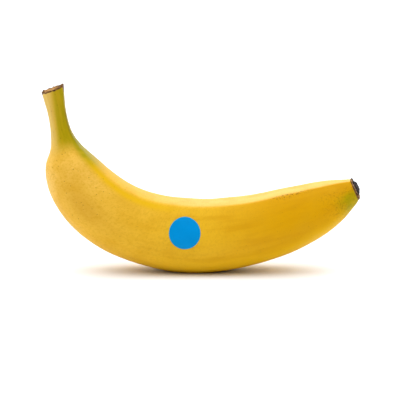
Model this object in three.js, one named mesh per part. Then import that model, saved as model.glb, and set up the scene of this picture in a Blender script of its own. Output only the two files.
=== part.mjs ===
// A ripe banana that rests on the outside of its bend, with a round label stuck on one side.
// Millimetres, +Z up. The fruit bends in the XZ plane with its stem at -X, and the label faces -Y.
// The origin is on the surface that the fruit rests on, under the middle of its box.
import * as THREE from "three";

// Cross-sections of the fruit, from the stem's cut to the blossom end. inner and outer are the points [x, z]
// where a section meets the inside and the outside of the bend, and side is half of its width across it.
// z is the height over the surface that the fruit rests on. Peel that would reach below it is pressed flat.
const SECTIONS = [
  { inner: [-72.8, 101], outer: [-84.4, 96.8], side: 7 }, // the cut
  { inner: [-71.2, 85.5], outer: [-80.9, 84], side: 5.4 }, // the stem at its thinnest
  { inner: [-68.4, 75.6], outer: [-79.6, 74], side: 6 },
  { inner: [-63.8, 68.6], outer: [-79.8, 66.5], side: 7.8 }, // the neck
  { inner: [-55.8, 61.2], outer: [-82.6, 56.5], side: 12 },
  { inner: [-44.8, 51.4], outer: [-80, 41.5], side: 15.8 },
  { inner: [-34, 44.6], outer: [-67.9, 23.3], side: 17.6 },
  { inner: [-20, 40], outer: [-45.8, 8.4], side: 18.6 },
  { inner: [1, 37.8], outer: [-7, -1.1], side: 18.9 }, // the middle, over the resting point
  { inner: [24, 39.5], outer: [32.5, 4.3], side: 18.6 },
  { inner: [48, 44.3], outer: [60.5, 15.8], side: 16.4 },
  { inner: [66.5, 48], outer: [77, 28.3], side: 11.6 },
  { inner: [80.5, 49.8], outer: [85.1, 39.5], side: 5.2 }, // the blossom end
];

// Ridges that run along the fruit. angles are a ridge's places round the section, in degrees from the inside
// of the bend (0) by the label's side (90) to the outside (180), at RIDGE_PLACES, which are shares of the
// way along the fruit. rise is a share of the radius, and rounding the degrees of the crest that are round.
const RIDGE_PLACES = [0, 0.14, 0.3, 0.75];
const RIDGES = [
  { angles: [38, 38, 38, 33], rise: 0.14, rounding: 2.5 },
  { angles: [94, 114, 104, 123], rise: 0.07, rounding: 7 },
  { angles: [218, 218, 218, 230], rise: 0.09, rounding: 5 },
  { angles: [268, 268, 268, 276], rise: 0.06, rounding: 6 },
  { angles: [322, 322, 322, 326], rise: 0.13, rounding: 3 },
];
const RIDGE_AT_ENDS = 1.3; // how much higher a ridge is at the two ends than in the middle

const TIP_SWING = 2; // how far the blossom end leans out of the plane of the bend, to the label's side
const SWING_START = 0.55; // share of the way along the fruit where that lean begins

// Dried remains of the flower at the blossom end: rings that stand out from the last section, each with its
// distance and its share of that section's size.
const FLOWER_RINGS = [
  { reach: 0.5, share: 1.0 },
  { reach: 1.5, share: 0.86 },
  { reach: 2.1, share: 0.5 },
];
const FLOWER_LOBES = 6;
const LOBE_RISE = 0.06; // share of the section's size

const LABEL_DIAMETER = 16.8;
const LABEL_THICKNESS = 0.3;
const LABEL_GAP = 0.15; // between the peel and the label's back
const LABEL_CENTRE = [-8.1, 24]; // x and z

// Fineness of the faceted surfaces
const SIDES = 48;
const RINGS = 72;
const LABEL_SIDES = 40;
const LABEL_RINGS = 6;

const inBendPlane = ([x, z]) => new THREE.Vector3(x, 0, z);
const innerCurve = new THREE.CatmullRomCurve3(SECTIONS.map(({ inner }) => inBendPlane(inner)));
const outerCurve = new THREE.CatmullRomCurve3(SECTIONS.map(({ outer }) => inBendPlane(outer)));
const sideCurve = new THREE.SplineCurve(SECTIONS.map(({ side }, i) => new THREE.Vector2(i, side)));

// The middle line of the fruit. along is 0 at the stem's cut and 1 at the blossom end.
class Spine extends THREE.Curve {
  getPoint(along, target = new THREE.Vector3()) {
    target.addVectors(innerCurve.getPoint(along), outerCurve.getPoint(along)).multiplyScalar(0.5);
    const swing = Math.max(0, (along - SWING_START) / (1 - SWING_START));
    target.y = -TIP_SWING * swing ** 3;
    return target;
  }
}
const spine = new Spine();

// A section's middle, its half axes to the inside of the bend and to the label's side, and the way onward to
// the blossom end.
function sectionAt(along) {
  const onward = spine.getTangent(along);
  const inward = innerCurve.getPoint(along).sub(outerCurve.getPoint(along)).multiplyScalar(0.5);
  const front = onward.clone().cross(inward).normalize().multiplyScalar(sideCurve.getPoint(along).y);
  return { along, middle: spine.getPoint(along), inward, front, onward };
}

function ridgeAngle({ angles }, along) {
  let angle = angles[0];
  for (let i = 1; i < angles.length; i++) {
    const turned = THREE.MathUtils.smoothstep(along, RIDGE_PLACES[i - 1], RIDGE_PLACES[i]);
    angle += turned * (angles[i] - angles[i - 1]);
  }
  return angle;
}

const turnBetween = (from, to) => ((to - from + 540) % 360) - 180; // degrees, from -180 to 180

// Radius of a section at an angle round it, as a share of the plain ellipse. Each ridge falls off to the
// middle of the flatter face on each side of it.
function ridgedRadius(along, degrees) {
  const height = THREE.MathUtils.lerp(1, RIDGE_AT_ENDS, (2 * along - 1) ** 2);
  const angles = RIDGES.map((ridge) => ridgeAngle(ridge, along));
  let radius = 1;
  RIDGES.forEach(({ rise, rounding }, i) => {
    const away = turnBetween(angles[i], degrees);
    const neighbour = away > 0 ? angles[(i + 1) % angles.length] : angles.at(i - 1);
    const halfFace = Math.abs(turnBetween(angles[i], neighbour)) / 2;
    const fall = (Math.hypot(away, rounding) - rounding) / halfFace;
    radius += height * rise * Math.max(0, 1 - fall) ** 2;
  });
  return radius;
}

// One ring of points round a section, scaled and moved on along the fruit.
function ringOf(section, { share = 1, reach = 0, lobes = 0 } = {}) {
  return Array.from({ length: SIDES }, (_, i) => {
    const turn = (i / SIDES) * 2 * Math.PI;
    const lobed = 1 + lobes * Math.cos(FLOWER_LOBES * turn);
    const radius = share * lobed * ridgedRadius(section.along, (i / SIDES) * 360);
    return section.middle
      .clone()
      .addScaledVector(section.inward, radius * Math.cos(turn))
      .addScaledVector(section.front, radius * Math.sin(turn))
      .addScaledVector(section.onward, reach);
  });
}

// A closed skin over rings of equal count, with a point that closes each end. The rings run clockwise, as
// seen from the first point.
function loft(rings, firstPoint, lastPoint) {
  const count = rings[0].length;
  const points = [firstPoint, ...rings.flat(), lastPoint];
  const last = points.length - 1;
  const at = (ring, i) => 1 + ring * count + (i % count);
  const faces = [];
  for (let i = 0; i < count; i++) {
    faces.push(0, at(0, i + 1), at(0, i));
    for (let ring = 0; ring + 1 < rings.length; ring++) {
      faces.push(at(ring, i), at(ring + 1, i + 1), at(ring + 1, i));
      faces.push(at(ring, i), at(ring, i + 1), at(ring + 1, i + 1));
    }
    faces.push(last, at(rings.length - 1, i), at(rings.length - 1, i + 1));
  }
  const geometry = new THREE.BufferGeometry().setFromPoints(points);
  geometry.setIndex(faces);
  geometry.computeVertexNormals();
  return geometry;
}

// The fruit with its stem: one body, as it grew.
function makeBanana() {
  const evenly = (i) => spine.getUtoTmapping(i / RINGS);
  const rings = Array.from({ length: RINGS + 1 }, (_, i) => ringOf(sectionAt(evenly(i))));
  const tip = sectionAt(1);
  for (const { reach, share } of FLOWER_RINGS) rings.push(ringOf(tip, { share, reach, lobes: LOBE_RISE }));
  const tipPoint = tip.middle.clone().addScaledVector(tip.onward, FLOWER_RINGS.at(-1).reach);
  for (const point of rings.flat()) point.z = Math.max(point.z, 0);
  const peel = new THREE.MeshStandardMaterial({ color: 0xe0aa20, roughness: 0.5, metalness: 0 });
  const mesh = new THREE.Mesh(loft(rings, sectionAt(0).middle, tipPoint), peel);
  mesh.name = "banana";
  return mesh;
}

// The label: a thin disc that follows the peel, found by pressing it straight on from the front.
function makeLabel(banana) {
  const toPeel = new THREE.Vector3(0, 1, 0);
  const raycaster = new THREE.Raycaster();
  const [centreX, centreZ] = LABEL_CENTRE;
  const pressed = (x, z, lift) => {
    raycaster.set(new THREE.Vector3(centreX + x, -100, centreZ + z), toPeel);
    return raycaster.intersectObject(banana)[0].point.addScaledVector(toPeel, -lift);
  };
  const ring = (radius, lift) =>
    Array.from({ length: LABEL_SIDES }, (_, i) => {
      const turn = (i / LABEL_SIDES) * 2 * Math.PI;
      return pressed(radius * Math.sin(turn), radius * Math.cos(turn), lift);
    });
  const radiusStep = LABEL_DIAMETER / 2 / LABEL_RINGS;
  const radii = Array.from({ length: LABEL_RINGS }, (_, i) => (i + 1) * radiusStep);
  const faceLift = LABEL_GAP + LABEL_THICKNESS;
  const rings = [
    ...radii.map((radius) => ring(radius, faceLift)),
    ...radii.toReversed().map((radius) => ring(radius, LABEL_GAP)),
  ];
  const film = new THREE.MeshStandardMaterial({ color: 0x0090d8, roughness: 0.4, metalness: 0 });
  const mesh = new THREE.Mesh(loft(rings, pressed(0, 0, faceLift), pressed(0, 0, LABEL_GAP)), film);
  mesh.name = "label";
  return mesh;
}

const part = new THREE.Group();
const banana = makeBanana();
banana.updateMatrixWorld();
part.add(banana, makeLabel(banana));
const box = new THREE.Box3().setFromObject(part);
part.position.set(-(box.min.x + box.max.x) / 2, -(box.min.y + box.max.y) / 2, -box.min.z);

export default part;
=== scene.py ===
"""The looks of a ripe banana: its peel, cut stem and dried flower, and the round label on its side."""

import math

import bpy
import numpy as np
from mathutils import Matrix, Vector, noise
from mathutils.bvhtree import BVHTree


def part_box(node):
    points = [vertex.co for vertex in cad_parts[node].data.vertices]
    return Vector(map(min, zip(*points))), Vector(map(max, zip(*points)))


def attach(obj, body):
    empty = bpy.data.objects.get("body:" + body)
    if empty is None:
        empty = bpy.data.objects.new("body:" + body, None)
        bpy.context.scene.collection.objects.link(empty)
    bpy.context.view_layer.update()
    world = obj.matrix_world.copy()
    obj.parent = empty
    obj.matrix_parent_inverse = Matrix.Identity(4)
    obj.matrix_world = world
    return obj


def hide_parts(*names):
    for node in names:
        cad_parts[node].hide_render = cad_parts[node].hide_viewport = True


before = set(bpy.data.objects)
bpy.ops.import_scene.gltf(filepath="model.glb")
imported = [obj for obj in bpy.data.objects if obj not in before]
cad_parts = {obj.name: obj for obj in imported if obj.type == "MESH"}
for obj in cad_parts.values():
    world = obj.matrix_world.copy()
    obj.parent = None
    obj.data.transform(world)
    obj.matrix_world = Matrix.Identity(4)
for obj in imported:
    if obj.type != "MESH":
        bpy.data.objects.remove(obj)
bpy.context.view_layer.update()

MM = 0.001

# The fruit's form, in mm, as its solid has it. Its sections run from the stem's cut to the blossom end:
# INNER and OUTER are the points (x, z) where they meet the inside and the outside of the bend, and SIDE is
# half of their width across it. The last part of the fruit swings out of the bend to the label's side.
INNER = np.array([
    (-72.8, 101), (-71.2, 85.5), (-68.4, 75.6), (-63.8, 68.6), (-55.8, 61.2), (-44.8, 51.4), (-34, 44.6),
    (-20, 40), (1, 37.8), (24, 39.5), (48, 44.3), (66.5, 48), (80.5, 49.8),
])
OUTER = np.array([
    (-84.4, 96.8), (-80.9, 84), (-79.6, 74), (-79.8, 66.5), (-82.6, 56.5), (-80, 41.5), (-67.9, 23.3),
    (-45.8, 8.4), (-7, -1.1), (32.5, 4.3), (60.5, 15.8), (77, 28.3), (85.1, 39.5),
])
SIDE = np.array([7, 5.4, 6, 7.8, 12, 15.8, 17.6, 18.6, 18.9, 18.6, 16.4, 11.6, 5.2])
TIP_SWING = 2
SWING_START = 0.55  # share of the way along the fruit
LABEL_X = -8.1  # the label's middle

# Ridges along the fruit. Their angles, at four places along it, are degrees round the section, from the
# inside of the bend by the label's side. Their rises are shares of the radius.
RIDGE_PLACES = (0, 0.14, 0.3, 0.75)
RIDGE_ANGLES = np.array([
    (38, 38, 38, 33), (94, 114, 104, 123), (218, 218, 218, 230), (268, 268, 268, 276), (322, 322, 322, 326),
])
RIDGE_RISES = (0.14, 0.07, 0.09, 0.06, 0.13)
CREST_ROUNDINGS = (2.5, 7, 5, 6, 3)  # degrees of each crest that are round
RIDGE_AT_ENDS = 1.3  # how much higher a ridge is at the two ends than in the middle

# Profiles of the cut face, from its middle to its rim, and of the flower's remains, from the rim to the
# middle: share of the section's size, and how far the surface stands out, in mm.
CUT_PROFILE = [(0, -0.9), (0.35, -0.8), (0.7, -0.5), (0.88, -0.05), (0.96, 0.12), (1, 0)]
FLOWER_PROFILE = [
    (1, 0), (1.01, 0.4), (0.99, 0.85), (0.9, 1.05), (0.8, 0.4), (0.7, 0.6), (0.6, 1.65), (0.42, 2.4),
    (0.2, 2.75), (0, 2.75),
]
CUT_LEAN = -0.01  # slope of the cut across the bend

# Heights of the relief, in mm
CUT_TEAR = 0.8
CUT_CRUMPLE = 0.25
PEEL_SWELLS = 0.25
PEEL_DENTS = 0.05
PEEL_FIBRES = 0.02
STEM_FIBRES = 0.07
TIP_FULLNESS = 0.45
FLOWER_CRUMPLE = 0.35
FLOWER_KNOB = 0.2
FLOWER_LUMPS = 0.5

# How far the label's face and back are from the peel
LABEL_LIFT = 0.12 * MM
LABEL_BACK_LIFT = 0.2 * LABEL_LIFT

# Fineness of the finished meshes
SIDES = 192
CREST_COLUMNS = 6  # columns on each side of a ridge that crowd together beside it
CREST_WIDTH = 6  # degrees that they take up
BODY_RINGS = 400
CUT_RINGS = 20
FLOWER_RINGS = 36
SPINE_STEPS = 4000
LABEL_SIDES = 96
LABEL_RINGS = 24

# Colours: red, green and blue as screen values, or a pair of them for an uneven surface
# The shoulder's yellow is paler partly from its own colour and partly as painted sheen
SHOULDER_YELLOW = (229, 180, 64)
MIDDLE_YELLOW = (224, 175, 36)
TIP_YELLOW = (208, 152, 0)
# Painted sheen: paler yellow where the upper faces and the shoulder catch the light
PAINTED_SHEEN_YELLOW = (232, 187, 92)
# Painted shade low on the shoulder's side
PAINTED_SHADE_YELLOW = (206, 156, 48)
PATCH_YELLOW = (204, 151, 18)
STREAK_YELLOW = (200, 142, 0)
GRAIN_YELLOW = (198, 145, 20)
# Painted bounce light under the upper ridges and on the outside of the bend
PAINTED_BOUNCE_GOLD = (224, 175, 0)
STEM_TANS = (214, 179, 92), (201, 165, 78)
STEM_OLIVES = (156, 139, 0), (176, 146, 14)
# Painted shade down the stem's inner ridges
DUSKY_GREEN = (148, 142, 52)
PAINTED_SHADE_OLIVE = (118, 108, 0)
FRESH_GREEN = (156, 144, 0)
SPECK_BROWN = (112, 76, 8)
SCUFF_BROWN = (112, 64, 0)
BURNT_BROWNS = (58, 34, 18), (150, 104, 54)
CUT_BROWNS = (108, 70, 34), (186, 142, 88)
CUT_RIM_BROWN = (50, 28, 14)
FLOWER_BROWNS = (64, 40, 22), (138, 98, 58)
GROOVE_TAN = (164, 132, 96)
DOME_GREYS = (22, 20, 22), (88, 80, 78)
KNOB_BLACK = (28, 24, 26)
LABEL_BLUES = (0, 130, 194), (0, 142, 212)
LABEL_EDGE_BLUE = (0, 148, 190)

# Surfaces
PEEL_ROUGHNESS = 0.45
PEEL_SHINE = 0.06
PORE_DEPTH = 0.07 * MM
PORE_STRENGTH = 0.6
DRY_ROUGHNESS = 0.85
LABEL_ROUGHNESS = 0.38
LABEL_SHINE = 0.04
RIPPLE_DEPTH = 0.1 * MM
RIPPLE_STRENGTH = 0.3

# The camera, the floor and the room
CAMERA_TARGET = Vector((-0.8, 0, 38.5)) * MM
CAMERA_ELEVATION = math.radians(11)
CAMERA_DISTANCE = 1.195
CAMERA_LENS = 200
FLOOR_SIZE = 40
FLOOR_DROP = 0.05 * MM
FLOOR_COLOR = (0.9, 0.92, 0.96, 1)  # linear values with alpha
FLOOR_ROUGHNESS = 0.7
FLOOR_SHINE = 0.1
BRIGHT_SIDE = (-0.28, 0.96, 0)  # the way to the brightest wall
DIM_WALL = 0.09
BRIGHT_WALL = 1.3
CEILING = 2.6
CEILING_EDGE = 0.35  # height at which the ceiling's light begins, where straight up is 1


def smoothstep(low, high, value):
    """From 0 at low to 1 at high, with soft ends. low may be the larger one."""
    part = np.clip((value - low) / (high - low), 0, 1)
    return part * part * (3 - 2 * part)


def hump(value, middle, width):
    """1 at the middle, falling off to both sides."""
    return np.exp(-((value - middle) / width) ** 2)


# Curves through the sections
def stretch_of(count, along):
    """Which stretch between count points each share of the way lies on, and its share of that stretch."""
    place = along * (count - 1)
    index = np.clip(place.astype(int), 0, count - 2)
    return index, (place - index)[:, None]


def cubic(start, end, leaving, arriving, part):
    """A cubic from start to end that leaves and arrives at the given speeds."""
    square = part**2
    cube = part**3
    return (
        start * (2 * cube - 3 * square + 1)
        + leaving * (cube - 2 * square + part)
        + end * (3 * square - 2 * cube)
        + arriving * (cube - square)
    )


def round_curve(points, along):
    """A centripetal Catmull-Rom curve."""
    padded = np.vstack([2 * points[0] - points[1], points, 2 * points[-1] - points[-2]])
    index, part = stretch_of(len(points), along)
    before, start, end, after = (padded[index + k] for k in range(4))
    gap_in, gap, gap_out = (
        np.sqrt(np.linalg.norm(second - first, axis=1))[:, None]
        for first, second in ((before, start), (start, end), (end, after))
    )
    leaving = (start - before) / gap_in - (end - before) / (gap_in + gap) + (end - start) / gap
    arriving = (end - start) / gap - (after - start) / (gap + gap_out) + (after - end) / gap_out
    return cubic(start, end, gap * leaving, gap * arriving, part)


def even_curve(points, along):
    """A Catmull-Rom curve that gives each stretch the same time."""
    padded = np.vstack([points[:1], points, points[-1:]])
    index, part = stretch_of(len(points), along)
    before, start, end, after = (padded[index + k] for k in range(4))
    return cubic(start, end, (end - before) / 2, (after - start) / 2, part)


# The fruit's plain form
def in_bend_plane(flat):
    return np.stack([flat[:, 0], np.zeros(len(flat)), flat[:, 1]], axis=1)


def spine(along):
    """The middle line of the fruit. Its last part leans to the label's side."""
    middle = in_bend_plane((round_curve(INNER, along) + round_curve(OUTER, along)) / 2)
    swing = np.clip((along - SWING_START) / (1 - SWING_START), 0, None)
    middle[:, 1] = -TIP_SWING * swing**3
    return middle


def unit(vectors):
    return vectors / np.linalg.norm(vectors, axis=-1, keepdims=True)


def sections_at(along):
    """Middles, half axes to the inside of the bend and to the label's side, and ways to the blossom end."""
    step = 1e-4
    onward = unit(spine(np.minimum(along + step, 1)) - spine(np.maximum(along - step, 0)))
    inward = in_bend_plane(round_curve(INNER, along) - round_curve(OUTER, along)) / 2
    front = unit(np.cross(onward, inward)) * even_curve(SIDE[:, None], along)
    return spine(along), inward, front, onward


def ridge_angles(along):
    """The angle of each ridge on each ring."""
    angles = np.repeat(RIDGE_ANGLES[None, :, 0].astype(float), len(along), axis=0)
    for k in range(len(RIDGE_PLACES) - 1):
        turned = smoothstep(RIDGE_PLACES[k], RIDGE_PLACES[k + 1], along)[:, None]
        angles += turned * (RIDGE_ANGLES[:, k + 1] - RIDGE_ANGLES[:, k])
    return angles


def column_angles(along):
    """Angles of the grid's columns on each ring. They follow the ridges and crowd together beside them."""
    step = 360 / SIDES
    beside = np.array([-1, 0, 1])
    turns = np.array([-360, 0, 360])
    angles = ridge_angles(along)
    anchors = np.round(angles[0] / step) * step
    knots = (turns[:, None, None] + anchors[:, None] + CREST_COLUMNS * step * beside).ravel()
    places = turns[:, None, None] + angles[:, None, :, None] + CREST_WIDTH * beside
    return np.array([np.interp(np.arange(SIDES) * step, knots, row.ravel()) for row in places])


def ridge_height(along, degrees):
    """How far the ridges rise over the plain ellipse, as a share of its radius. Each one falls off to the
    middle of the flatter face on each side of it."""
    angles = ridge_angles(along)
    half_faces = ((np.roll(angles, -1, axis=1) - angles) % 360) / 2
    ends = 1 + (RIDGE_AT_ENDS - 1) * (2 * along[:, None] - 1) ** 2
    height = np.zeros(degrees.shape)
    for i, (rise, rounding) in enumerate(zip(RIDGE_RISES, CREST_ROUNDINGS)):
        away = (degrees - angles[:, i, None] + 180) % 360 - 180
        half_face = np.where(away > 0, half_faces[:, i, None], half_faces[:, i - 1, None])
        fall = (np.hypot(away, rounding) - rounding) / half_face
        height += ends * rise * np.clip(1 - fall, 0, None) ** 2
    return height


def evenly_along(count):
    """Shares of the way that lie at equal distances on the spine, and the distance of each from the cut."""
    fine = np.linspace(0, 1, SPINE_STEPS)
    walked = np.concatenate([[0], np.cumsum(np.linalg.norm(np.diff(spine(fine), axis=0), axis=1))])
    run = np.linspace(0, walked[-1], count)
    return np.interp(run, walked, fine), run


def fruit_rings():
    """For each ring of the mesh: share of the way along, distance from the cut, share of the section's
    size, reach onward, and share of the way over the flower's remains."""
    along, run = evenly_along(BODY_RINGS)
    cut = even_curve(np.array(CUT_PROFILE), np.linspace(0, 1, CUT_RINGS + 2)[1:-1])
    petal = np.linspace(0, 1, FLOWER_RINGS + 2)[1:-1]
    flower = even_curve(np.array(FLOWER_PROFILE), petal)
    return (
        np.concatenate([np.zeros(CUT_RINGS), along, np.ones(FLOWER_RINGS)]),
        np.concatenate([np.zeros(CUT_RINGS), run, np.full(FLOWER_RINGS, run[-1])]),
        np.concatenate([cut[:, 0], np.ones(BODY_RINGS), flower[:, 0]]),
        np.concatenate([-cut[:, 1], np.zeros(BODY_RINGS), flower[:, 1]]),
        np.concatenate([np.zeros(CUT_RINGS + BODY_RINGS), petal]),
    )


# The fruit's finished form
def noise_at(points, size, octaves=3):
    """Smooth noise, about -1 to 1, with features of the given size."""
    flat = (points / size).reshape(-1, 3)
    values = [noise.fractal(Vector(point), 1, 2, octaves) for point in flat]
    return np.array(values).reshape(points.shape[:-1])


def normals_of(grid):
    """Outward directions of a grid of points whose second way goes round."""
    wrapped = np.concatenate([grid[:, -1:], grid, grid[:, :1]], axis=1)
    around = wrapped[:, 2:] - wrapped[:, :-2]
    return unit(np.cross(around, np.gradient(grid, axis=0)))


class Fruit:
    """The fruit's finished surface as a grid of rings, with what the peel's colours depend on."""

    def __init__(self):
        along, run, share, reach, petal = fruit_rings()
        degrees = column_angles(along)
        every = np.ones(degrees.shape)
        self.fold = np.abs((degrees + 180) % 360 - 180)  # degrees from the inside of the bend, either way
        self.from_ridge = self.fold - ridge_angles(along)[:, :1]  # degrees past the upper ridge
        self.run = run[:, None] * every  # mm from the cut
        self.to_tip = run.max() - self.run
        self.petal = petal[:, None] * every  # share of the way over the flower's remains
        self.share = share[:, None] * every  # share of the section's size
        self.face = (along == 0)[:, None] * smoothstep(1, 0.93, self.share)  # 1 on the cut face
        self.lay(along, degrees, reach[:, None])
        self.settle()

    def lay(self, along, degrees, reach):
        """Lays the rings round the spine. The grain is the place in a straightened fruit."""
        middle, inward, front, onward = (part[:, None] for part in sections_at(along))
        turn = np.radians(degrees)
        cosine = np.cos(turn)
        sine = np.sin(turn)
        girth = self.share * (np.linalg.norm(inward, axis=2) + np.linalg.norm(front, axis=2)) / 2
        self.grain = np.stack([girth * cosine, girth * sine, self.run + reach], axis=-1)
        radius = (self.share * (1 + ridge_height(along, degrees)))[..., None]
        across = radius * (inward * cosine[..., None] + front * sine[..., None])
        pushed = reach + self.cut_push(sine)
        self.points = middle + across + onward * pushed[..., None]

    def cut_push(self, sideways):
        """How far the cut is pushed along the stem: a slight lean across the bend, and a torn edge."""
        lean = CUT_LEAN * SIDE[0] * self.share * sideways * smoothstep(8, 0, self.run)
        edge = smoothstep(0.6, 1, self.share) * smoothstep(2.5, 0, self.run)
        return lean + CUT_TEAR * edge * noise_at(self.grain, 2.2)

    def settle(self):
        """Places the form where its solid is, adds its relief and presses it flat where it rests."""
        low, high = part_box("label")
        self.points[..., 0] += (low.x + high.x) / 2 / MM - LABEL_X
        self.points += normals_of(self.points) * self.relief()[..., None]
        self.points[..., 2] = np.maximum(self.points[..., 2], 0)

    def relief(self):
        """Relief of the peel, of the cut face and of the flower's remains, in mm."""
        flower = smoothstep(0, 0.12, self.petal)
        crumple = noise_at(self.grain, 1.5, 4)
        peel = (1 - self.face) * (1 - flower) * self.peel_relief()
        return peel + CUT_CRUMPLE * self.face * crumple + flower * self.flower_relief(crumple)

    def peel_relief(self):
        """Swells and dents of the peel, its lengthwise fibres, and its fullness under the tip."""
        swells = PEEL_SWELLS * noise_at(self.grain, 24, 2) + PEEL_DENTS * noise_at(self.grain, 7, 2)
        full = TIP_FULLNESS * smoothstep(120, 165, self.fold) * hump(self.to_tip, 2.5, 3.5)
        stem = smoothstep(46, 26, self.run)
        fibres = (PEEL_FIBRES + STEM_FIBRES * stem) * noise_at(self.grain * (1, 1, 0.06), 1.4)
        return swells + full + fibres

    def flower_relief(self, crumple):
        """Crumples of the flower's remains, a knob on their rim and lumps on their dome."""
        knob = FLOWER_KNOB * hump(self.fold, 0, 24) * hump(self.petal, 0.2, 0.12)
        lumps = FLOWER_LUMPS * smoothstep(0.45, 0.7, self.petal) * noise_at(self.grain, 4, 2)
        return FLOWER_CRUMPLE * crumple + knob + lumps


# Where the peel has its colours and its painted light and shade, as shares from 0 to 1
def stem_edge(fruit):
    """The angle round the stem where its pale outer side meets its olive inner side."""
    return np.interp(fruit.run, (0, 20, 30), (90, 106, 114))


def olive_of(fruit):
    edge = stem_edge(fruit)
    return smoothstep(edge + 22, edge - 22, fruit.fold) * smoothstep(36, 27, fruit.run)


def tan_of(fruit):
    edge = stem_edge(fruit)
    return smoothstep(edge - 22, edge + 22, fruit.fold) * smoothstep(40, 24, fruit.run)


def green_of(fruit):
    """The corner under the stem, on the inside of the bend, and the lower half of the sides at the tip."""
    corner = hump(fruit.run, 35, 8) * hump(fruit.from_ridge, 4, 12)
    low_sides = smoothstep(62, 98, fruit.fold) * smoothstep(180, 145, fruit.fold)
    return np.maximum(corner, 0.85 * low_sides * smoothstep(15, 4, fruit.to_tip))


def stem_painted_shade_of(fruit):
    """Painted shade: a dark line down the stem's inner ridges."""
    down_stem = smoothstep(6, 16, fruit.run) * smoothstep(36, 28, fruit.run)
    return 0.8 * hump(fruit.from_ridge, -4, 9) * down_stem


def dusky_of(fruit):
    """Grey-green on the inside of the bend, just below the stem."""
    below_stem = smoothstep(22, 30, fruit.run) * smoothstep(54, 34, fruit.run)
    return 0.85 * smoothstep(3, -5, fruit.from_ridge) * below_stem


def painted_sheen_of(fruit):
    """Painted sheen, paler on the faces on the inside of the bend and the outside of the shoulder under the
    stem.
    """
    top = smoothstep(3, -5, fruit.from_ridge) * smoothstep(60, 120, fruit.run)
    shoulder = (0.45 + 0.5 * smoothstep(115, 150, fruit.fold)) * hump(fruit.run, 46, 12)
    return np.maximum(top, shoulder * smoothstep(12, 22, fruit.from_ridge))


def side_painted_shade_of(fruit):
    """Painted shade: a darker patch low on the shoulder's side."""
    return 0.8 * hump(fruit.run, 62, 16) * hump(fruit.fold, 104, 24)


def streaked_of(fruit):
    """How clear the lengthwise streaks are: faint near the stem and on the inside of the bend."""
    inside = smoothstep(4, -6, fruit.from_ridge)
    return (0.1 + 0.38 * smoothstep(60, 150, fruit.run)) * (1 - 0.75 * inside)


def painted_bounce_of(fruit):
    """Painted bounce light: a clear line under the upper ridges, from the stem to the middle, and a lighter
    outside of the bend.
    """
    line = hump(fruit.from_ridge, 7, 5) * smoothstep(32, 42, fruit.run) * smoothstep(120, 85, fruit.run)
    outside = smoothstep(105, 145, fruit.fold) * smoothstep(90, 130, fruit.run)
    return 0.95 * np.maximum(line, 0.9 * outside)


def scuff_of(fruit):
    """A rubbed stretch of the upper ridges near the tip, and the last of the sides."""
    line = hump(fruit.from_ridge, 1, 4) * smoothstep(168, 176, fruit.run) * smoothstep(198, 190, fruit.run)
    tip = smoothstep(45, 60, fruit.fold) * smoothstep(24, 10, fruit.to_tip)
    return np.maximum(line, 0.3 * tip)


def speckled_of(fruit):
    """How dark the specks are: clear on the shoulder, faint on the rest."""
    return 0.3 + 0.5 * smoothstep(100, 55, fruit.run)


def scorch_of(fruit):
    """Brown peel beside the cut: deep down the inside of the stem, less outside, and a thin rim between."""
    depth = 0.9 + 4 * smoothstep(40, 12, fruit.fold) + 1.6 * smoothstep(148, 170, fruit.fold)
    return smoothstep(depth, 0.3 * depth, fruit.run)


def rim_of(fruit):
    """The dark edge of the cut face, widest at its two corners, and its browner inner half."""
    corners = smoothstep(85, 30, fruit.fold) + smoothstep(140, 170, fruit.fold)
    edge = smoothstep(0.8 - 0.4 * corners, 0.98 - 0.2 * corners, fruit.share)
    inner_half = smoothstep(-0.2, 0.8, fruit.share * np.cos(np.radians(fruit.fold)))
    return np.maximum(edge, inner_half)


def bloom_of(fruit):
    """The way over the flower's remains, held back where their brown rim is wider."""
    return fruit.petal - 0.14 * smoothstep(20, 110, fruit.fold)


def knob_of(fruit):
    """A black knob on the flower's rim, at the inside of the bend."""
    return hump(fruit.fold, 0, 24) * (fruit.petal > 0)


# Some of these masks place painted sheen, painted shade and painted bounce light
MASKS = {
    "olive": olive_of,
    "tan": tan_of,
    "green": green_of,
    "stem_painted_shade": stem_painted_shade_of,
    "dusky": dusky_of,
    "pale": painted_sheen_of,
    "side_painted_shade": side_painted_shade_of,
    "streaked": streaked_of,
    "painted_bounce": painted_bounce_of,
    "scuff": scuff_of,
    "speckled": speckled_of,
    "scorch": scorch_of,
    "rim": rim_of,
    "bloom": bloom_of,
    "knob": knob_of,
}


# Shader nodes
def node(tree, kind, inputs=None, **settings):
    """A new node. An input is a plain value, or another node's output."""
    made = tree.nodes.new(kind)
    for name, value in settings.items():
        setattr(made, name, value)
    for name, value in (inputs or {}).items():
        if isinstance(value, bpy.types.NodeSocket):
            tree.links.new(value, made.inputs[name])
        else:
            made.inputs[name].default_value = value
    return made


def srgb(red, green, blue):
    """A colour given in screen values from 0 to 255, as linear values with alpha."""
    def linear(level):
        level /= 255
        return level / 12.92 if level <= 0.04045 else ((level + 0.055) / 1.055) ** 2.4
    return (linear(red), linear(green), linear(blue), 1)


def mix(tree, factor, first, second):
    """A blend of two colours. Each is screen values, or another node's output."""
    first, second = (srgb(*color) if isinstance(color, tuple) else color for color in (first, second))
    made = node(tree, "ShaderNodeMix", {0: factor, 6: first, 7: second}, data_type="RGBA")
    return made.outputs[2]


def math_node(tree, operation, first, second):
    return node(tree, "ShaderNodeMath", {0: first, 1: second}, operation=operation).outputs[0]


def times(tree, first, second):
    return math_node(tree, "MULTIPLY", first, second)


def stored(tree, name, output="Fac"):
    return node(tree, "ShaderNodeAttribute", attribute_name=name).outputs[output]


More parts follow.
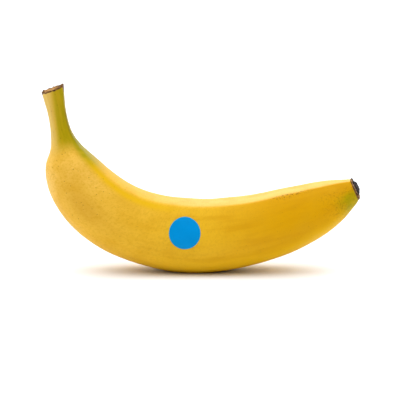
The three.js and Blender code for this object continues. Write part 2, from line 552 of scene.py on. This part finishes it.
def noise_node(tree, vector, scale, detail=3.0, roughness=0.5):
    inputs = {"Vector": vector, "Scale": scale, "Detail": detail, "Roughness": roughness}
    return node(tree, "ShaderNodeTexNoise", inputs).outputs["Fac"]


def ramp(tree, value, low, high, to_low=0.0, to_high=1.0):
    """From to_low at low to to_high at high, with soft ends."""
    inputs = {"Value": value, "From Min": low, "From Max": high, "To Min": to_low, "To Max": to_high}
    return node(tree, "ShaderNodeMapRange", inputs, interpolation_type="SMOOTHSTEP").outputs[0]


def scaled(tree, vector, factors):
    made = node(tree, "ShaderNodeVectorMath", {0: vector, 1: factors}, operation="MULTIPLY")
    return made.outputs[0]


def add_bump(tree, shader, height, strength, depth):
    bump = node(tree, "ShaderNodeBump", {"Height": height, "Strength": strength, "Distance": depth})
    tree.links.new(bump.outputs[0], shader.inputs["Normal"])


def new_material(name):
    material = bpy.data.materials.new(name)
    material.use_nodes = True
    return material, material.node_tree, material.node_tree.nodes["Principled BSDF"]


# Materials
def peel_material():
    material, tree, shader = new_material("peel")
    grain = stored(tree, "grain", "Vector")
    color = ripe_color_and_painted_light(tree, grain)
    color = green_and_tan(tree, grain, color)
    color = marked(tree, grain, color)
    color = dry_ends(tree, grain, color)
    tree.links.new(color, shader.inputs["Base Color"])
    dry = math_node(tree, "MAXIMUM", stored(tree, "face"), ramp(tree, stored(tree, "petal"), 0, 0.1))
    rough = ramp(tree, dry, 0, 1, PEEL_ROUGHNESS, DRY_ROUGHNESS)
    tree.links.new(rough, shader.inputs["Roughness"])
    shader.inputs["Specular IOR Level"].default_value = PEEL_SHINE
    add_bump(tree, shader, noise_node(tree, grain, 1.1, 3.0, 0.6), PORE_STRENGTH, PORE_DEPTH)
    return material


def ripe_color_and_painted_light(tree, grain):
    """Yellow that deepens from the stem's end to the tip, with painted sheen, painted shade, soft patches,
    streaks, fine grain and painted bounce light.
    """
    run = stored(tree, "run")
    # The shoulder's paler yellow is partly painted sheen
    color = mix(tree, ramp(tree, run, 45, 125), SHOULDER_YELLOW, MIDDLE_YELLOW)
    color = mix(tree, ramp(tree, run, 115, 180), color, TIP_YELLOW)
    # Painted sheen on the upper faces and the shoulder
    color = mix(tree, stored(tree, "pale"), color, PAINTED_SHEEN_YELLOW)
    # Painted shade low on the shoulder's side
    color = mix(tree, stored(tree, "side_painted_shade"), color, PAINTED_SHADE_YELLOW)
    patches = noise_node(tree, grain, 0.1, 4.0)
    color = mix(tree, ramp(tree, patches, 0.42, 0.7, 0, 0.35), color, PATCH_YELLOW)
    streaks = noise_node(tree, scaled(tree, grain, (1, 1, 0.1)), 0.3, 4.0)
    streaked = times(tree, ramp(tree, streaks, 0.45, 0.65), stored(tree, "streaked"))
    color = mix(tree, streaked, color, STREAK_YELLOW)
    fine = noise_node(tree, grain, 0.9, 3.0, 0.6)
    grained = times(tree, ramp(tree, fine, 0.42, 0.7), ramp(tree, run, 90, 170, 0.42, 0.28))
    color = mix(tree, grained, color, GRAIN_YELLOW)
    # Painted bounce light under the upper ridges and on the outside of the bend
    return mix(tree, stored(tree, "painted_bounce"), color, PAINTED_BOUNCE_GOLD)


def green_and_tan(tree, grain, color):
    """The stem's pale and olive sides, the green in the corner under it and round the tip, and a painted
    shade line down the stem's inner ridges.
    """
    patches = noise_node(tree, grain, 0.25)
    streaks = noise_node(tree, scaled(tree, grain, (1, 1, 0.08)), 0.55, 4.0)
    uneven = ramp(tree, streaks, 0.3, 0.7)
    color = mix(tree, stored(tree, "tan"), color, mix(tree, uneven, *STEM_TANS))
    color = mix(tree, stored(tree, "olive"), color, mix(tree, uneven, *STEM_OLIVES))
    color = mix(tree, stored(tree, "dusky"), color, DUSKY_GREEN)
    # Painted shade down the stem's inner ridges
    color = mix(tree, stored(tree, "stem_painted_shade"), color, PAINTED_SHADE_OLIVE)
    green = times(tree, stored(tree, "green"), ramp(tree, patches, 0.3, 0.6, 0.7, 1.0))
    return mix(tree, green, color, FRESH_GREEN)


def marked(tree, grain, color):
    """Small dark specks, mostly near the stem, and brown scuffs where the peel was rubbed."""
    cells = node(tree, "ShaderNodeTexVoronoi", {"Vector": grain, "Scale": 0.6})
    near = ramp(tree, cells.outputs["Distance"], 0.19, 0.07)
    chance = node(tree, "ShaderNodeSeparateColor", {0: cells.outputs["Color"]}).outputs[0]
    specks = times(tree, near, ramp(tree, chance, 0.45, 0.8))
    color = mix(tree, times(tree, specks, stored(tree, "speckled")), color, SPECK_BROWN)
    rubbed = ramp(tree, noise_node(tree, grain, 1.0, 4.0, 0.7), 0.5, 0.62)
    return mix(tree, times(tree, stored(tree, "scuff"), rubbed), color, SCUFF_BROWN)


def dry_ends(tree, grain, color):
    fibres = noise_node(tree, grain, 1.2, 4.0, 0.7)
    color = dry_cut(tree, fibres, color)
    return dry_flower(tree, fibres, color)


def dry_cut(tree, fibres, color):
    """Burnt peel beside the cut, and the cut's brown fibres with a darker rim."""
    scorch = ramp(tree, math_node(tree, "ADD", stored(tree, "scorch"), fibres), 0.75, 1.0)
    color = mix(tree, scorch, color, mix(tree, ramp(tree, fibres, 0.35, 0.7), *BURNT_BROWNS))
    inside = mix(tree, ramp(tree, fibres, 0.3, 0.6), *CUT_BROWNS)
    rim = times(tree, stored(tree, "rim"), ramp(tree, fibres, 0.75, 0.35, 0.35, 1.0))
    inside = mix(tree, rim, inside, CUT_RIM_BROWN)
    return mix(tree, stored(tree, "face"), color, inside)


def dry_flower(tree, fibres, color):
    """The brown rim, pale groove and black dome of the flower's remains, and the knob on their rim."""
    place = math_node(tree, "ADD", stored(tree, "bloom"), ramp(tree, fibres, 0.2, 0.8, -0.06, 0.06))
    rim = mix(tree, ramp(tree, fibres, 0.35, 0.7), *FLOWER_BROWNS)
    groove = mix(tree, ramp(tree, place, 0.1, 0.16), rim, GROOVE_TAN)
    dome = mix(tree, ramp(tree, fibres, 0.3, 0.7), *DOME_GREYS)
    flower = mix(tree, ramp(tree, place, 0.22, 0.3), groove, dome)
    flower = mix(tree, stored(tree, "knob"), flower, KNOB_BLACK)
    return mix(tree, ramp(tree, stored(tree, "petal"), 0.01, 0.05), color, flower)


def label_material():
    """Blue film with faint ripples, a slightly uneven colour and a lighter edge where it was cut."""
    material, tree, shader = new_material("label")
    place = node(tree, "ShaderNodeTexCoord").outputs["Object"]
    color = mix(tree, noise_node(tree, place, 150.0), *LABEL_BLUES)
    edge = ramp(tree, stored(tree, "reach"), 0.93, 0.98, 0, 0.7)
    color = mix(tree, edge, color, LABEL_EDGE_BLUE)
    tree.links.new(color, shader.inputs["Base Color"])
    shader.inputs["Roughness"].default_value = LABEL_ROUGHNESS
    shader.inputs["Specular IOR Level"].default_value = LABEL_SHINE
    add_bump(tree, shader, noise_node(tree, place, 400.0, 2.0), RIPPLE_STRENGTH, RIPPLE_DEPTH)
    return material


# The pieces
def mesh_from_grid(name, grid, first, last):
    """A closed mesh over rings of points, with a point that closes each end."""
    rings, sides = grid.shape[:2]
    points = np.concatenate([[first], grid.reshape(-1, 3), [last]]) * MM
    at = 1 + np.arange(rings * sides).reshape(rings, sides)
    beside = np.roll(at, -1, axis=1)
    quads = np.stack([at[:-1], beside[:-1], beside[1:], at[1:]], axis=-1).reshape(-1, 4)
    end = len(points) - 1
    faces = quads.tolist()
    faces += [(0, b, a) for a, b in zip(at[0].tolist(), beside[0].tolist())]
    faces += [(end, a, b) for a, b in zip(at[-1].tolist(), beside[-1].tolist())]
    mesh = bpy.data.meshes.new(name)
    mesh.from_pydata(points.tolist(), [], faces)
    mesh.shade_smooth()
    return mesh


def store(mesh, name, values):
    """Keeps a value for each point of a grid mesh. The end points take their ring's mean."""
    kind = "FLOAT_VECTOR" if values.ndim == 3 else "FLOAT"
    flat = values.reshape(len(mesh.vertices) - 2, -1)
    sides = values.shape[1]
    first = flat[:sides].mean(0, keepdims=True)
    last = flat[-sides:].mean(0, keepdims=True)
    attribute = mesh.attributes.new(name, kind, "POINT")
    field = "vector" if kind == "FLOAT_VECTOR" else "value"
    attribute.data.foreach_set(field, np.concatenate([first, flat, last]).astype(np.float32).ravel())


def add_piece(name, mesh, material):
    piece = bpy.data.objects.new(name, mesh)
    bpy.context.scene.collection.objects.link(piece)
    mesh.materials.append(material)
    return piece


def make_fruit():
    fruit = Fruit()
    ends = (fruit.points[0].mean(0), fruit.points[-1].mean(0))
    mesh = mesh_from_grid("banana_fruit", fruit.points, *ends)
    for name in ("grain", "run", "petal", "face"):
        store(mesh, name, getattr(fruit, name))
    for name, mask_of in MASKS.items():
        store(mesh, name, mask_of(fruit))
    piece = add_piece("banana_fruit", mesh, peel_material())
    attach(piece, "root")
    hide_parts("banana")
    return piece


def make_label(fruit):
    """A thin disc that follows the peel, found by pressing it straight on from the front."""
    low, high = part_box("label")
    middle = (low + high) / 2
    radius = (high.x - low.x) / 2
    peel = BVHTree.FromObject(fruit, bpy.context.evaluated_depsgraph_get())

    def pressed(x, z, lift):
        start = Vector((middle.x + x, low.y - radius, middle.z + z))
        place, normal, _, _ = peel.ray_cast(start, Vector((0, 1, 0)))
        return (place + normal * lift) / MM

    def ring(size, lift):
        turns = np.linspace(0, 2 * math.pi, LABEL_SIDES, endpoint=False)
        return [pressed(size * math.sin(turn), size * math.cos(turn), lift) for turn in turns]

    sizes = radius * np.linspace(0, 1, LABEL_RINGS + 1)[1:]
    face = [ring(size, LABEL_LIFT) for size in sizes]
    back = [ring(size, LABEL_BACK_LIFT) for size in sizes[::-1]]
    ends = (pressed(0, 0, LABEL_LIFT), pressed(0, 0, LABEL_BACK_LIFT))
    mesh = mesh_from_grid("round_label", np.array(face + back), *ends)
    reach = np.concatenate([sizes, sizes[::-1]]) / radius
    store(mesh, "reach", reach[:, None] * np.ones(LABEL_SIDES))
    piece = add_piece("round_label", mesh, label_material())
    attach(piece, "root")
    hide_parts("label")


# The stage
def make_floor():
    half = FLOOR_SIZE / 2
    corners = [(x, y, -FLOOR_DROP) for x, y in ((-half, -half), (half, -half), (half, half), (-half, half))]
    mesh = bpy.data.meshes.new("floor")
    mesh.from_pydata(corners, [], [(0, 1, 2, 3)])
    material, _, shader = new_material("floor")
    shader.inputs["Base Color"].default_value = FLOOR_COLOR
    shader.inputs["Roughness"].default_value = FLOOR_ROUGHNESS
    shader.inputs["Specular IOR Level"].default_value = FLOOR_SHINE
    add_piece("floor", mesh, material)


def make_camera():
    data = bpy.data.cameras.new("camera")
    data.lens = CAMERA_LENS
    camera = bpy.data.objects.new("camera", data)
    bpy.context.scene.collection.objects.link(camera)
    back = Vector((0, -math.cos(CAMERA_ELEVATION), math.sin(CAMERA_ELEVATION)))
    camera.location = CAMERA_TARGET + back * CAMERA_DISTANCE
    camera.rotation_euler = (math.pi / 2 - CAMERA_ELEVATION, 0, 0)
    bpy.context.scene.camera = camera


def make_light():
    """A white room, brightest overhead and dimmest in front. The camera sees its walls as plain white."""
    world = bpy.data.worlds.new("studio")
    world.use_nodes = True
    tree = world.node_tree
    way = node(tree, "ShaderNodeTexCoord").outputs["Generated"]
    beside = node(tree, "ShaderNodeVectorMath", {0: way, 1: BRIGHT_SIDE}, operation="DOT_PRODUCT")
    height = node(tree, "ShaderNodeSeparateXYZ", {0: way}).outputs["Z"]
    wall = ramp(tree, beside.outputs["Value"], -1, 1, DIM_WALL, BRIGHT_WALL)
    room = ramp(tree, height, CEILING_EDGE, 1, wall, CEILING)
    seen = node(tree, "ShaderNodeLightPath").outputs["Is Camera Ray"]
    tree.links.new(math_node(tree, "MAXIMUM", room, seen), tree.nodes["Background"].inputs["Strength"])
    tree.nodes["Background"].inputs["Color"].default_value = (1, 1, 1, 1)
    bpy.context.scene.world = world
    bpy.context.scene.view_settings.view_transform = "Standard"


make_camera()
make_light()
make_floor()
fruit_piece = make_fruit()
make_label(fruit_piece)
